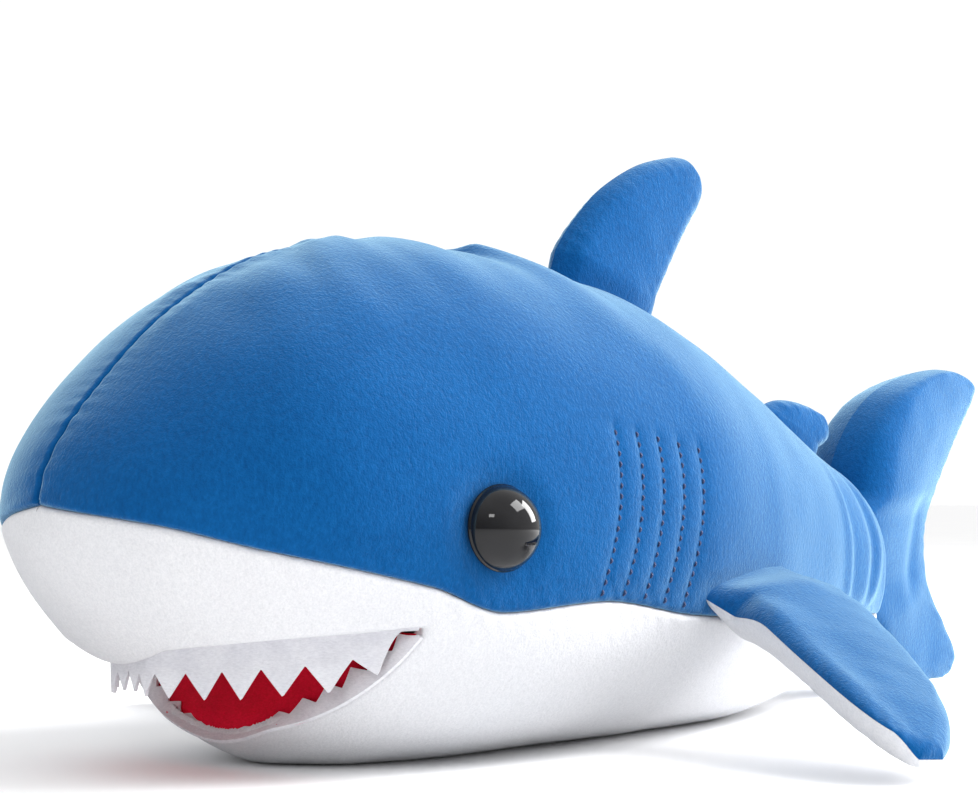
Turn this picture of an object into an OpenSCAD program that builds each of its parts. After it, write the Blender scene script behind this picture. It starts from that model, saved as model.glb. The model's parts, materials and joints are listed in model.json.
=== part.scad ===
// Plush shark: two blue back panels, a white snout and belly, a red-lined mouth with
// felt teeth, domed eyes, and five stuffed fins that flex at their roots.
// The nose points along -Y, the tail along +Y, and the belly rests on z = 0.

/* [Body] */
// Length from the nose to the seam in front of the tail
body_length = 458; // [380:1:560]
// Height of the stuffed back above the floor
body_height = 199; // [160:1:245]
// Greatest width across the flanks
body_width = 208; // [170:1:255]
// Depth by which the belly sags flat on the floor
belly_sag = 3; // [1.5:0.5:5]
// Thickness of the plush fabric
fabric = 2; // [1:0.25:3]
// Gap left at every seam
seam_gap = 0.3; // [0.2:0.05:0.6]
// Gap between a skin or lining and the filling behind it
fill_gap = 1.1; // [0.8:0.1:2]

/* [Mouth] */
// Distance from the nose back to the middle of the upper lip
upper_lip_front = 34; // [28:1:42]
// Distance from the nose back to the middle of the lower lip
lower_lip_front = 78; // [72:1:84]
// Distance from the nose back to the corners of the mouth
mouth_back = 100; // [94:1:112]
// Rise of the palate above the lips
palate_arch = 10; // [4:1:14]
// Thickness of the mouth lining
lining = 1.2; // [0.8:0.1:1.8]
// Thickness of the felt teeth
felt = 1.4; // [1:0.1:2]
// Teeth on each side of each strip
teeth_per_side = 8; // [5:1:10]
// Depth of the upper felt strip from the lip to its tooth tips
upper_strip = 17; // [12:0.5:20]
// Depth of the lower felt strip from the lip to its tooth tips
lower_strip = 12; // [8:0.5:14]

/* [Eyes] */
// Diameter of the eye dome
eye_d = 30; // [22:1:36]
// Height of the eye dome
eye_dome = 12; // [8:1:15]
// Distance from the nose back to the eye
eye_y = 126; // [112:1:140]
// Height of the eye above the floor
eye_z = 88; // [82:1:98]
// Diameter of the eye shank
shank_d = 6; // [4:0.5:8]
// Length of the eye shank
shank_length = 15; // [10:1:20]
// Diameter of the lock washer behind the fabric
washer_d = 20; // [14:1:26]
// Thickness of the lock washer
washer_t = 2; // [1.5:0.25:3]

/* [Gills] */
// Rows of gill stitching on each side
gill_rows = 5; // [3:1:6]
// Distance from the nose to the foot of the first row
gill_y = 175; // [165:1:180]
// Spacing between the rows
gill_pitch = 12.4; // [9:0.2:14]
// Thread radius
thread_r = 0.6; // [0.4:0.1:1]

/* [Fins] */
// Distance from the nose to the front of the pectoral root
pectoral_y = 242; // [225:1:260]
// Height of the pectoral hinge line
pectoral_z = 53; // [50:1:62]
// Droop of the pectoral fins below level
pectoral_droop = 24; // [16:0.5:25]
// Half thickness of the stuffed pectoral fin
pectoral_fill = 10; // [6:0.5:13]
// Distance from the nose to the front of the dorsal root
dorsal_y = 258; // [245:1:268]
// Half thickness of the stuffed dorsal fin
dorsal_fill = 10; // [6:0.5:13]
// Distance from the nose to the front of the second dorsal root
second_y = 402; // [392:1:408]
// Half thickness of the stuffed second dorsal fin
second_fill = 6; // [4:0.5:7]
// Length from the body's end seam to the tail tip
tail_length = 140; // [120:1:170]
// Half thickness of the tail where it meets the body
tail_fill = 26; // [20:1:29]
// Gap between each fin root and the body, kept as the fin flexes
root_gap = 1; // [0.6:0.1:1.5]

/* [Hidden] */

overall_length = body_length + tail_length;
blue = "royalblue";
white = "whitesmoke";
red = "crimson";

// Body outline: [share of the body length, share of the height or of the half width].
TOP = [[0, .485], [.011, .57], [.048, .68], [.124, .84], [.225, .96], [.328, 1],
       [.437, 1], [.568, .955], [.718, .83], [.852, .69], [1, .55]];
MIDDLE = [[0, .485], [.131, .46], [.262, .44], [.437, .43], [.655, .42], [.873, .38], [1, .335]];
BOTTOM = [[0, .485], [.026, .337], [.083, .196], [.164, .075], [.218, .015], [.262, 0],
          [.72, 0], [.873, .05], [1, .13]];
WIDTH = [[0, 0], [.0175, .317], [.0655, .615], [.153, .856], [.262, .952], [.393, 1],
         [.524, .99], [.655, .865], [.764, .70], [.873, .53], [1, .34]];
SIDE_SEAM = [[0, .48], [.031, .447], [.083, .407], [.218, .335], [.288, .287], [.39, .30],
             [.52, .262], [.76, .235], [1, .21]];
round_above = 2;
round_jaw = 1.75;
round_belly = 2.4;
nose_s = 0.012;

// ---- curves ----
function slope(p, i) = (p[i + 1][1] - p[i][1]) / (p[i + 1][0] - p[i][0]);
function tangent(p, i) =
    i == 0 ? slope(p, 0) :
    i == len(p) - 1 ? slope(p, i - 1) :
    slope(p, i - 1) * slope(p, i) <= 0 ? 0 :
    2 / (1 / slope(p, i - 1) + 1 / slope(p, i));
function span_at(p, x, i = 0) = (i >= len(p) - 2 || x < p[i + 1][0]) ? i : span_at(p, x, i + 1);
function smooth(p, x) =
    let (i = span_at(p, x), h = p[i + 1][0] - p[i][0], t = (x - p[i][0]) / h,
         a = p[i][1], b = p[i + 1][1], m = tangent(p, i) * h, n = tangent(p, i + 1) * h)
    a + t * m + t * t * (3 * (b - a) - 2 * m - n) + t * t * t * (2 * (a - b) + m + n);
function rooted(p) = [for (q = p) [sqrt(q[0]), q[1]]];
function mix(a, b, t) = a + (b - a) * t;
function eased(t) = let (k = min(1, max(0, t))) k * k * (3 - 2 * k);
function unit(v) = v / norm(v);
function flip_x(p) = [-p[0], p[1], p[2]];

// ---- body surface: s is the root of the share of length, angle 0 is the back seam ----
top_curve = rooted(TOP);
middle_curve = rooted(MIDDLE);
bottom_curve = rooted(BOTTOM);
width_curve = rooted(WIDTH);
seam_curve = rooted(SIDE_SEAM);
function s_of(y) = sqrt(max(y, 0) / body_length);
function y_of(s) = body_length * s * s;
function top_z(s) = body_height * smooth(top_curve, s);
function middle_z(s) = body_height * smooth(middle_curve, s);
function bottom_z(s) = body_height * smooth(bottom_curve, s) - belly_sag;
function half_width(s) = body_width / 2 * smooth(width_curve, s);
function seam_z(s) = body_height * smooth(seam_curve, s);
// The lower half of the section is keeled under the snout and full under the belly.
keel_end = 0.16;
keel_fade = 0.17;
function round_below(s) = mix(round_jaw, round_belly, eased((s * s - keel_end) / keel_fade));
function skin(s, a) =
    let (c = cos(a), q = c >= 0 ? round_above : round_below(s), m = middle_z(s),
         reach = c >= 0 ? top_z(s) - m : bottom_z(s) - m)
    [half_width(s) * sign(sin(a)) * pow(abs(sin(a)), 2 / q), y_of(s),
     max(0, m + reach * pow(abs(c), 2 / q))];
function skin_normal(s, a, ds = 0.004, da = 1) =
    unit(cross(skin(s, a + da) - skin(s, a - da), skin(s + ds, a) - skin(s - ds, a)));
function under_skin(s, a, depth) = skin(s, a) - depth * skin_normal(s, a);
// Angle on the lower half of the section at which the skin reaches a height
function angle_at(s, z) =
    let (m = middle_z(s), fall = m - bottom_z(s), k = (m - z) / fall)
    k <= 0 ? 90 : k >= 1 ? 180 : 180 - acos(pow(k, round_below(s) / 2));
function seam_angle(s) = angle_at(s, seam_z(s));

// ---- mouth: both lips climb from the front to the corners ----
corner_z = 0.264 * body_height;
corner_gap = 1.5;
upper_climb = 0.048 * body_height;
lower_climb = 0.178 * body_height;
lower_curve = 1.6;
function upper_share(y) = max(0, (y - upper_lip_front) / (mouth_back - upper_lip_front));
function lower_share(y) = max(0, (y - lower_lip_front) / (mouth_back - lower_lip_front));
function upper_lip_z(y) = corner_z - upper_climb * (1 - sqrt(upper_share(y)));
function lower_lip_z(y) = corner_z - corner_gap - lower_climb * (1 - pow(lower_share(y), lower_curve));
function arch(y) = palate_arch * sin(180 * upper_share(y));
// How far behind the front of its lip each piece of the mouth starts
palate_setback = 8;
tongue_setback = 10;
jaw_setback = 12;
upper_strip_setback = 5;
lower_strip_setback = 7;
back_s = s_of(mouth_back);
lip_s = s_of(upper_lip_front + 1.5);
chin_s = s_of(lower_lip_front + 1);
corner_clear = 0.006;
function upper_lip_angle(s) = y_of(s) < upper_lip_front + 1 ? 180 : angle_at(s, upper_lip_z(y_of(s)));
function lower_lip_angle(s) = angle_at(s, lower_lip_z(y_of(s)));

// ---- solids from grids of points ----
function quads(base, cols, rows, turn) =
    [for (i = [0 : rows - 2], j = [0 : cols - 2])
        let (a = base + i * cols + j, b = a + 1, c = a + cols, d = c + 1)
        each (turn ? [[a, b, d], [a, d, c]] : [[a, d, b], [a, c, d]])];
function wall(a, b, n) = [[a, b, b + n], [a, b + n, a + n]];
module sheet(outer, inner) {
    rows = len(outer);
    cols = len(outer[0]);
    n = rows * cols;
    points = concat([for (r = outer) each r], [for (r = inner) each r]);
    sides = concat(
        [for (j = [0 : cols - 2]) each wall(j, j + 1, n)],
        [for (j = [0 : cols - 2]) each wall((rows - 1) * cols + j + 1, (rows - 1) * cols + j, n)],
        [for (i = [0 : rows - 2]) each wall((i + 1) * cols, i * cols, n)],
        [for (i = [0 : rows - 2]) each wall((i + 1) * cols - 1, (i + 2) * cols - 1, n)]);
    polyhedron(points, concat(quads(0, cols, rows, false), quads(n, cols, rows, true), sides));
}
module loft(rings) {
    rows = len(rings);
    cols = len(rings[0]);
    middle = [for (k = [0, rows - 1]) [for (v = [0 : 2]) sum_of(rings[k], v) / cols]];
    points = concat([for (r = rings) each r], middle);
    n = rows * cols;
    polyhedron(points, concat(
        [for (i = [0 : rows - 2], j = [0 : cols - 1])
            let (a = i * cols + j, b = i * cols + (j + 1) % cols)
            each [[a, a + cols, b + cols], [a, b + cols, b]]],
        [for (j = [0 : cols - 1]) [n, j, (j + 1) % cols]],
        [for (j = [0 : cols - 1]) [n + 1, n - cols + (j + 1) % cols, n - cols + j]]));
}
function sum_of(ring, v, i = 0) = i >= len(ring) ? 0 : ring[i][v] + sum_of(ring, v, i + 1);
function steps(a, b, n) = [for (i = [0 : n]) mix(a, b, i / n)];
function both_sides(half) = concat(half, [for (i = [len(half) - 2 : -1 : 1]) flip_x(half[i])]);
module place() translate([0, -overall_length / 2, 0]) children();
module left_or_right(side) mirror([side < 0 ? 1 : 0, 0, 0]) children();

// ---- skins ----
back_rows = 34;
module back_half() {
    cols = 9;
    function point(s, k, depth) =
        let (p = under_skin(s, k / cols * (seam_angle(s) - 0.15), depth))
        [max(p[0], seam_gap / 2), p[1], p[2]];
    sheet([for (s = steps(nose_s, 1, back_rows)) [for (k = [0 : cols]) point(s, k, 0)]],
          [for (s = steps(nose_s, 1, back_rows)) [for (k = [0 : cols]) point(s, k, fabric)]]);
}
module back_panel(side) {
    color(blue) place() left_or_right(side) difference() {
        back_half();
        eye_axis() translate([0, 0, -2 * fabric]) cylinder(d = shank_d + 2 * seam_gap, h = 4 * fabric);
    }
}
snout_rows = 15;
module snout_half() {
    cols = 5;
    function point(s, k, depth) =
        let (a = seam_angle(s) + 0.15, p = under_skin(s, mix(a, upper_lip_angle(s), k / cols), depth))
        [max(p[0], 0), p[1], p[2]];
    stations = concat(steps(nose_s, lip_s, 8), [for (s = steps(lip_s, back_s, snout_rows)) if (s > lip_s) s]);
    sheet([for (s = stations) [for (k = [0 : cols]) point(s, k, 0)]],
          [for (s = stations) [for (k = [0 : cols]) point(s, k, fabric)]]);
}
module snout_panel() {
    color(white) place() union() {
        snout_half();
        mirror([1, 0, 0]) snout_half();
    }
}
module belly_panel() {
    cols = 7;
    stations = concat(steps(chin_s, back_s, 12), steps(back_s + 0.004, 1, 20));
    function edge(s) = s <= back_s ? lower_lip_angle(s) : seam_angle(s) + 0.15;
    function row(s, depth) =
        let (half = [for (k = [0 : cols]) under_skin(s, mix(edge(s), 180, k / cols), depth)])
        concat(half, [for (i = [cols - 1 : -1 : 0]) flip_x(half[i])]);
    color(white) place()
        sheet([for (s = stations) row(s, 0)], [for (s = stations) row(s, fabric)]);
}

// ---- filling ----
inside = fabric + fill_gap;
module body_stuffing() {
    upper = 10;
    lower = 6;
    mouth_stations = steps(lip_s + 0.012, back_s - 0.004, 9);
    snout_stations = steps(0.04, s_of(upper_lip_front - 2), 6);
    stations = concat(snout_stations, mouth_stations, steps(back_s + 0.004, 0.993, 20));
    function split(s) =
        s <= lip_s ? 150 : s < back_s ? angle_at(s, upper_lip_z(y_of(s)) + lining + fill_gap)
        : angle_at(s, corner_z + lining);
    function roof(s, x) =
        let (y = y_of(s), edge = under_skin(s, split(s), inside))
        [x * edge[0], y, upper_lip_z(y) + lining + 1.5 * fill_gap + arch(y) * (1 - x * x)];
    function half(s) = concat(
        [for (k = [0 : upper]) under_skin(s, split(s) * k / upper, inside)],
        [for (k = [1 : lower]) s > lip_s && s < back_s ? roof(s, 1 - k / lower)
            : under_skin(s, mix(split(s), 180, k / lower), inside)]);
    color("ivory") place() difference() {
        loft([for (s = stations) both_sides(half(s))]);
        for (side = [1, -1]) left_or_right(side) eye_axis() {
            translate([0, 0, -shank_length - 1]) cylinder(d = shank_d + 1, h = shank_length + fabric);
            translate([0, 0, -washer_depth - seam_gap]) cylinder(d = washer_d + 1, h = washer_depth + fabric);
        }
    }
}
// The jaw's filling stands further from the skin on a longer body, whose facets are longer.
jaw_slack = 0.0024 * body_length;
module jaw_stuffing() {
    cols = 10;
    stations = steps(s_of(lower_lip_front + jaw_setback), back_s - corner_clear, 8);
    function half(s) =
        let (top = lower_lip_z(y_of(s)) - lining - 2.5 * fill_gap, a = angle_at(s, top),
             edge = under_skin(s, a, lining_edge)[0])
        concat([for (x = [0, 0.5, 1]) [x * edge, y_of(s), top]],
               [for (k = [1 : cols]) under_skin(s, mix(a, 180, k / cols), inside + jaw_slack)]);
    color("ivory") place() loft([for (s = stations) both_sides(half(s))]);
}

// ---- mouth lining and teeth: the lining starts behind the felt strips ----
lining_edge = inside + felt + 2.5 * fill_gap;
module palate_lining() {
    cols = 12;
    stations = steps(s_of(upper_lip_front + palate_setback), back_s - corner_clear, 10);
    function point(s, x, rise) =
        let (y = y_of(s), edge = under_skin(s, angle_at(s, upper_lip_z(y)), lining_edge))
        [x * edge[0], y, upper_lip_z(y) + rise + arch(y) * (1 - x * x)];
    color(red) place()
        sheet([for (s = stations) [for (x = steps(1, -1, cols)) point(s, x, 0)]],
              [for (s = stations) [for (x = steps(1, -1, cols)) point(s, x, lining)]]);
}
// The tongue is as wide as the keeled skin allows just below it.
module tongue_lining() {
    cols = 8;
    stations = steps(s_of(lower_lip_front + tongue_setback), back_s - corner_clear, 7);
    function point(s, x, drop) =
        let (y = y_of(s), top = lower_lip_z(y), a = angle_at(s, top - 2 * lining))
        [x * under_skin(s, a, lining_edge)[0], y, top - drop];
    color(red) place()
        sheet([for (s = stations) [for (x = steps(-1, 1, cols)) point(s, x, 0)]],
              [for (s = stations) [for (x = steps(-1, 1, cols)) point(s, x, lining)]]);
}
// Strip paths run from the right corner (-1) through the front (0) to the left corner (1).
// The upper strip stands back from the lip at the front and meets it at the corners.
front_share = 0.4;
function upper_path(t) =
    let (y = mix(upper_lip_front + upper_strip_setback, mouth_back, t * t), s = s_of(y), z = upper_lip_z(y),
         p = under_skin(s, angle_at(s, z), inside))
    [sign(t) * p[0] * mix(front_share, 1, t * t), y, z];
function lower_path(t) =
    let (y = mix(lower_lip_front + lower_strip_setback, mouth_back, t * t), s = s_of(y), z = lower_lip_z(y),
         p = under_skin(s, angle_at(s, z), inside))
    [sign(t) * p[0], y, z];
function inward(t, p) = unit([-p[0], mouth_back - 12 - p[1], 0]);
module tooth_strip(upper) {
    last = 0.93;
    count = 4 * teeth_per_side;
    lean = upper ? 0 : 38;
    way = upper ? -1 : 1;
    full = upper ? upper_strip : lower_strip;
    valley = 0.45;
    function place_at(k) = let (t = mix(-last, last, k / count)) abs(t) < 0.001 ? 0.001 : t;
    function reach(k, t) = full * (k % 2 == 1 ? 1 : valley) * (1 - 0.7 * pow(abs(t), 5));
    function point(k, row, depth) =
        let (t = place_at(k), p = upper ? upper_path(t) : lower_path(t), n = inward(t, p),
             along = row * reach(k, t))
        p + n * (depth + along * sin(lean)) + [0, 0, way * (2 * fill_gap + along * cos(lean))];
    ks = upper ? [for (k = [count : -1 : 0]) k] : [for (k = [0 : count]) k];
    color(white) place()
        sheet([for (row = [0, 1]) [for (k = ks) point(k, row, 0)]],
              [for (row = [0, 1]) [for (k = ks) point(k, row, felt)]]);
}
module upper_teeth() tooth_strip(true);
module lower_teeth() tooth_strip(false);

// ---- eyes ----
eye_s = s_of(eye_y);
eye_a = angle_at(eye_s, eye_z);
// The washer sits clear of the curved fabric in front of it.
washer_depth = fabric + seam_gap + 1.5 * pow(washer_d / 2, 2) / body_width + washer_t;
module eye_axis() {
    p = skin(eye_s, eye_a);
    n = skin_normal(eye_s, eye_a);
    translate(p) rotate([0, acos(n[2]), atan2(n[1], n[0])]) children();
}
module eye(side) {
    dome_r = (pow(eye_d / 2, 2) + pow(eye_dome, 2)) / (2 * eye_dome);
    color("black") place() left_or_right(side) eye_axis() {
        translate([0, 0, seam_gap]) rotate_extrude($fn = 96) intersection() {
            translate([0, eye_dome - dome_r]) circle(r = dome_r, $fn = 128);
            square([eye_d / 2, eye_dome]);
        }
        translate([0, 0, -shank_length]) cylinder(d = shank_d, h = shank_length + 2 * seam_gap, $fn = 48);
    }
}
module eye_washer(side) {
    color("dimgray") place() left_or_right(side) eye_axis()
        translate([0, 0, -washer_depth]) difference() {
            cylinder(d = washer_d, h = washer_t, $fn = 64);
            translate([0, 0, -1]) cylinder(d = shank_d + 0.1, h = washer_t + 2, $fn = 48);
        }
}

// ---- gill stitching ----
gill_sweep = 14;
gill_top_z = 0.632 * body_height;
gill_top_fall = 1.6;
module gill_stitches(side) {
    sides = 6;
    rings = 12;
    lift = thread_r + seam_gap;
    function spine(row, t) =
        let (y = gill_y + row * gill_pitch + gill_sweep * sin(90 * t), s = s_of(y),
             z = mix(seam_z(s) + 2, gill_top_z - gill_top_fall * row, t),
             m = middle_z(s),
             a = z < m ? angle_at(s, z) : acos(pow((z - m) / (top_z(s) - m), round_above / 2)))
        skin(s, a) + lift * skin_normal(s, a);
    function ring(row, i) =
        let (t = i / rings, p = spine(row, t), d = unit(spine(row, t + 0.02) - spine(row, t - 0.02)),
             x = unit(cross(d, [0, 1, 0])), y = cross(d, x))
        [for (k = [0 : sides - 1]) p + thread_r * (cos(360 * k / sides) * x + sin(360 * k / sides) * y)];
    color("navy") place() left_or_right(side)
        for (row = [0 : gill_rows - 1]) loft([for (i = [0 : rings]) ring(row, i)]);
}

// ---- fins: outlines are [outward, rearward] from the front of the root ----
PECTORAL_FRONT = [[0, -2], [16, -8], [46, -20], [78, -31], [98, -34], [109, -28]];
PECTORAL_REAR = [[0, 72], [22, 66], [62, 43], [88, 20], [103, 0], [111, -16]];
DORSAL_FRONT = [[0, 0], [14, 5], [36, 17], [57, 36], [71, 56], [75, 65]];
DORSAL_REAR = [[0, 66], [8, 67], [28, 72], [45, 77], [61, 82], [70, 78]];
SECOND_FRONT = [[0, 0], [6, 13], [11, 25], [15, 38], [17, 46]];
SECOND_REAR = [[0, 50], [5, 55], [9, 57], [13, 56], [16, 51]];
function outline(p, t) =
    let (n = len(p) - 1, x = min(t * n, n - 0.0001), i = floor(x), f = x - i,
         a = p[max(i - 1, 0)], b = p[i], c = p[i + 1], d = p[min(i + 2, n)])
    0.5 * (2 * b + (c - a) * f + (2 * a - 5 * b + 4 * c - d) * f * f + (3 * b - a - 3 * c + d) * f * f * f);
function fin_half_thickness(fill, t, u) = 0.5 + fill * (1 - 0.78 * pow(t, 1.4)) * pow(4 * u * (1 - u), 0.6);
// A point at chord share u; rows below zero round the root about the hinge line.
function fin_point(front, rear, fill, t, u, side, grow) =
    let (p = mix(outline(front, max(t, 0)), outline(rear, max(t, 0)), u),
         h = fin_half_thickness(fill, max(t, 0), u) + grow, turn = t < 0 ? -t : 0)
    [side * (seam_gap / 2 + h * cos(turn)), p[1], p[0] - h * sin(turn)];
function fin_rows(rows) = concat([-90, -60, -30], steps(0, 1, rows));
module fin_side(front, rear, fill, side, rows = 9, cols = 8) {
    us = side > 0 ? steps(0, 1, cols) : steps(1, 0, cols);
    sheet([for (t = fin_rows(rows)) [for (u = us) fin_point(front, rear, fill, t, u, side, fabric)]],
          [for (t = fin_rows(rows)) [for (u = us) fin_point(front, rear, fill, t, u, side, 0)]]);
}
module fin_stuffing(front, rear, fill, rows = 8, cols = 6) {
    us = steps(0.1, 0.9, cols);
    loft([for (t = concat([-75, -35], steps(0, 0.9, rows)))
        concat([for (u = us) fin_point(front, rear, fill, t, u, 1, -fill_gap)],
               [for (i = [cols : -1 : 0]) fin_point(front, rear, fill, t, us[i], -1, -fill_gap)])]);
}
function fin_radius(fill) = fill + fabric + 0.5 + seam_gap / 2;

// The pectoral hinge line is parallel to Y, clear of the widest flank beside it.
pectoral_angle = angle_at(s_of(pectoral_y), pectoral_z);
pectoral_x = skin(s_of(pectoral_y), pectoral_angle)[0] + fin_radius(pectoral_fill) + root_gap;
module pectoral_frame(side) {
    place() left_or_right(side) translate([pectoral_x, pectoral_y, pectoral_z])
        rotate([0, 90 + pectoral_droop, 0]) children();
}
module pectoral_top(side) color(blue) pectoral_frame(side)
    fin_side(PECTORAL_FRONT, PECTORAL_REAR, pectoral_fill, -1);
module pectoral_bottom(side) color(white) pectoral_frame(side)
    fin_side(PECTORAL_FRONT, PECTORAL_REAR, pectoral_fill, 1);
module pectoral_stuffing(side) color("ivory") pectoral_frame(side)
    fin_stuffing(PECTORAL_FRONT, PECTORAL_REAR, pectoral_fill);

// A fin on the back stands on the line between the ends of its root.
function root_fall(y, chord) =
    atan2(top_z(s_of(y)) - top_z(s_of(y + chord)), chord);
module back_fin_frame(y, chord, fill) {
    fall = root_fall(y, chord);
    place() translate([0, y, top_z(s_of(y))]) rotate([-fall, 0, 0])
        translate([0, 0, fin_radius(fill) + root_gap + crown_rise(y, chord)]) children();
}
// How far the back bulges above the line between the ends of a root
function crown_rise(y, chord) =
    let (front = top_z(s_of(y)), rear = top_z(s_of(y + chord)))
    max([for (k = steps(0, 1, 8)) top_z(s_of(y + chord * k)) - mix(front, rear, k)]);
dorsal_chord = DORSAL_REAR[0][1];
second_chord = SECOND_REAR[0][1];
module dorsal_fin(side) color(blue) back_fin_frame(dorsal_y, dorsal_chord, dorsal_fill)
    fin_side(DORSAL_FRONT, DORSAL_REAR, dorsal_fill, side);
module dorsal_stuffing() color("ivory") back_fin_frame(dorsal_y, dorsal_chord, dorsal_fill)
    fin_stuffing(DORSAL_FRONT, DORSAL_REAR, dorsal_fill);
module second_dorsal(side) color(blue) back_fin_frame(second_y, second_chord, second_fill)
    fin_side(SECOND_FRONT, SECOND_REAR, second_fill, side, 7, 6);
module second_dorsal_stuffing() color("ivory") back_fin_frame(second_y, second_chord, second_fill)
    fin_stuffing(SECOND_FRONT, SECOND_REAR, second_fill, 6, 5);

// ---- tail: outlines are [height, distance behind the body] from the lower to the upper tip ----
TAIL_FRONT = [[4, 104], [5, 72], [14, 38], [28, 14], [46, 1], [78, 1], [104, 3],
              [128, 15], [148, 37], [160, 67], [166, 102], [163, 127]];
TAIL_REAR = [[6, 112], [16, 118], [34, 106], [52, 93], [70, 89], [86, 91], [104, 101],
             [122, 114], [138, 127], [150, 137], [157, 140], [161, 135]];
tail_scale = tail_length / 140;
tail_hinge_y = body_length + root_gap + tail_fill;
function tail_fullness(t) = pow(sin(180 * min(max(t, 0), 1)), 1.3);
// Half thickness: round in front about the hinge, then falling away to the rear edge.
function tail_half_thickness(y, front, rear, t) =
    let (round = tail_fill - fabric - seam_gap, full = 1 + (round - 1) * tail_fullness(t),
         lead = min(full, (rear - front) / 2), d = front + lead - y)
    max(0.5, d > 0 ? full * sqrt(max(0, 1 - pow(d / lead, 2)))
                   : full * pow(max(0, 1 - pow(-d / (rear - front - lead), 1.4)), 0.9));
function tail_point(t, u, side, grow) =
    let (f = outline(TAIL_FRONT, t), r = outline(TAIL_REAR, t),
         front = tail_hinge_y - tail_fill + f[1] * tail_scale,
         rear = tail_hinge_y - tail_fill + r[1] * tail_scale,
         y = mix(front, rear, u), z = mix(f[0], r[0], u) * body_height / 199)
    [side * (seam_gap / 2 + max(0.3, tail_half_thickness(y, front, rear, t) + grow)), y, z];
tail_shares = [0, .04, .1, .18, .28, .42, .58, .74, .88, 1];
module tail_side(side) {
    us = side > 0 ? tail_shares : [for (i = [len(tail_shares) - 1 : -1 : 0]) tail_shares[i]];
    color(blue) place()
        sheet([for (t = steps(0, 1, 20)) [for (u = us) tail_point(t, u, side, fabric)]],
              [for (t = steps(0, 1, 20)) [for (u = us) tail_point(t, u, side, 0)]]);
}
module tail_stuffing() {
    us = [for (u = tail_shares) if (u > 0.05 && u < 0.95) u];
    color("ivory") place() loft([for (t = steps(0.05, 0.95, 16))
        concat([for (u = us) tail_point(t, u, 1, -fill_gap)],
               [for (i = [len(us) - 1 : -1 : 0]) tail_point(t, us[i], -1, -fill_gap)])]);
}

back_panel(1);  // back_panel_left
back_panel(-1);  // back_panel_right
snout_panel();
belly_panel();
palate_lining();
tongue_lining();
upper_teeth();
lower_teeth();
body_stuffing();
jaw_stuffing();
eye(1);  // eye_left
eye(-1);  // eye_right
eye_washer(1);  // eye_washer_left
eye_washer(-1);  // eye_washer_right
gill_stitches(1);  // gill_stitches_left
gill_stitches(-1);  // gill_stitches_right
pectoral_top(1);  // pectoral_left_top
pectoral_bottom(1);  // pectoral_left_bottom
pectoral_stuffing(1);  // pectoral_left_stuffing
pectoral_top(-1);  // pectoral_right_top
pectoral_bottom(-1);  // pectoral_right_bottom
pectoral_stuffing(-1);  // pectoral_right_stuffing
dorsal_fin(1);  // dorsal_left
dorsal_fin(-1);  // dorsal_right
dorsal_stuffing();
second_dorsal(1);  // second_dorsal_left
second_dorsal(-1);  // second_dorsal_right
second_dorsal_stuffing();
tail_side(1);  // tail_left
tail_side(-1);  // tail_right
tail_stuffing();
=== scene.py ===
import itertools
import json
import math

import bmesh
import bpy
import numpy as np
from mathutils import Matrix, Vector, kdtree


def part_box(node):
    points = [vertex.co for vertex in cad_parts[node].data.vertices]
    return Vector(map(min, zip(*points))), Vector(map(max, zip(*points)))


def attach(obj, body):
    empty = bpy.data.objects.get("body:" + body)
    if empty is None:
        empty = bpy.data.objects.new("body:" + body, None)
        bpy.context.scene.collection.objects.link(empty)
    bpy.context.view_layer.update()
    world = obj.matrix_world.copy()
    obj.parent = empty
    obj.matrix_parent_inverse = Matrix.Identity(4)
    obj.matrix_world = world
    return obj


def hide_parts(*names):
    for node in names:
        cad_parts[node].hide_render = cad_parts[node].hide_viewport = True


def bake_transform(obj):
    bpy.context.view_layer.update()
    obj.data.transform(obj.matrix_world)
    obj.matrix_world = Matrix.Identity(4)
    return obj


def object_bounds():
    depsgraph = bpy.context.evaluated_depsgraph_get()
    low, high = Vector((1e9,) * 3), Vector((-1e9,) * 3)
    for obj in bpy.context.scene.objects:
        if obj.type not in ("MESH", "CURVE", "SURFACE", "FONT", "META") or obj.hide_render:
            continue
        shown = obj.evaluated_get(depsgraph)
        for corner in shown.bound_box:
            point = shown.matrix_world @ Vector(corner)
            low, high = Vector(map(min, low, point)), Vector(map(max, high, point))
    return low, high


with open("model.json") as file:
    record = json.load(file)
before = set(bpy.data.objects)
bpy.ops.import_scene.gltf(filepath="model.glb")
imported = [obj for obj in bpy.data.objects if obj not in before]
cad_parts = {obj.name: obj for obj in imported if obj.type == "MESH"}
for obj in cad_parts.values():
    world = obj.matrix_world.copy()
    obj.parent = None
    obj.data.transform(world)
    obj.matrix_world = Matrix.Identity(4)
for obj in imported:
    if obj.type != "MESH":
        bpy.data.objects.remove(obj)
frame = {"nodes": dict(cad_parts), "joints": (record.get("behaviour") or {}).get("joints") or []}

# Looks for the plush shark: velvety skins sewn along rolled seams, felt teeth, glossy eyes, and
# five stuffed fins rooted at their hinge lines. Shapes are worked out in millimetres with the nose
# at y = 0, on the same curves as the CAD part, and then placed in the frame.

MM = 0.001
cad_low, cad_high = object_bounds()

# ---- sizes read from the frame ----
back_low, back_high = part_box("back_panel_left")
NOSE_Y = back_low.y
BODY_LENGTH = (back_high.y - back_low.y) / MM
BODY_HEIGHT = back_high.z / MM
BODY_HALF_WIDTH = back_high.x / MM
JOINTS = {joint["name"]: joint for joint in frame["joints"]}

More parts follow.
